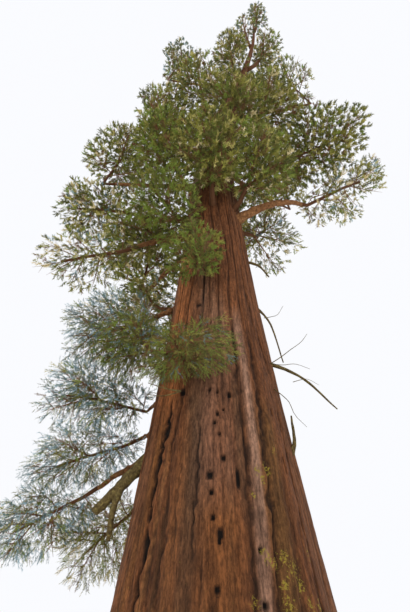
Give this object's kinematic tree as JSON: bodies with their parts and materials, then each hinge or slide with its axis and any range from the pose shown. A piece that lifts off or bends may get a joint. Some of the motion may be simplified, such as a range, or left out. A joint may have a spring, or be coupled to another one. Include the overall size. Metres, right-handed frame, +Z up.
{
  "type": "giant sequoia tree",
  "caption": "Mature giant sequoia with a massive fluted red-brown trunk, upturned boughs, rounded foliage masses and broken dead limbs, cut flat at ground level.",
  "frame": {"origin": "centre of the trunk's flat cut at ground level", "axes": "+Z up along the trunk; +X to the right and -Y towards the viewer as the tree is seen in the picture"},
  "size_m": [13.8401, 8.0747, 39.9902],
  "materials": {
    "bark": "fibrous furrowed bark",
    "bough_bark": "rough bark",
    "dead_wood": "weathered bare wood",
    "foliage_green": "matte needle sprays",
    "foliage_grey_green": "matte needle sprays"
  },
  "bodies": {
    "root": {"trunk": "bark", "bough_left_crest": "bough_bark", "bough_left_shoulder": "bough_bark", "bough_right_high": "bough_bark", "bough_right_upper": "bough_bark", "bough_right_tip": "bough_bark", "bough_left_high": "bough_bark", "bough_left_over": "bough_bark", "bough_left_long": "bough_bark", "bough_left_mid": "bough_bark", "bough_left_low": "bough_bark", "bough_left_foot": "bough_bark", "bough_left_skirt": "bough_bark", "bough_left_skirt_back": "bough_bark", "bough_back_low": "bough_bark", "bough_back_left": "bough_bark", "bough_back_mid": "bough_bark", "bough_back_right": "bough_bark", "bough_back_high": "bough_bark", "dead_fork": "dead_wood", "dead_stub": "dead_wood", "dead_switch": "dead_wood", "dead_arm": "dead_wood", "dead_splinter": "dead_wood", "foliage_spire_left": "foliage_green", "foliage_spire_right": "foliage_green", "foliage_leader_right": "foliage_green", "foliage_leader_left": "foliage_green", "foliage_left_crest": "foliage_green", "foliage_crown_left": "foliage_green", "foliage_left_shoulder": "foliage_green", "foliage_crown_front": "foliage_green", "foliage_crown_right": "foliage_green", "foliage_right_high": "foliage_green", "foliage_right_upper": "foliage_green", "foliage_right_tip": "foliage_green", "foliage_right_low": "foliage_green", "foliage_front_right": "foliage_green", "foliage_front": "foliage_green", "foliage_front_left": "foliage_green", "foliage_left_high": "foliage_green", "foliage_left_high_front": "foliage_green", "foliage_left_over": "foliage_green", "foliage_left_long": "foliage_green", "foliage_left_inner": "foliage_green", "foliage_left_behind": "foliage_green", "foliage_left_mid": "foliage_grey_green", "foliage_left_mid_front": "foliage_grey_green", "foliage_left_low": "foliage_grey_green", "foliage_left_foot": "foliage_grey_green", "foliage_left_skirt": "foliage_grey_green", "foliage_left_skirt_back": "foliage_grey_green", "foliage_drape": "foliage_grey_green", "foliage_front_clump": "foliage_green", "foliage_back_low": "foliage_green", "foliage_back_left": "foliage_green", "foliage_back_mid": "foliage_green", "foliage_back_right": "foliage_green", "foliage_back_high": "foliage_green", "foliage_back_crown": "foliage_green"}
  },
  "joints": []
}
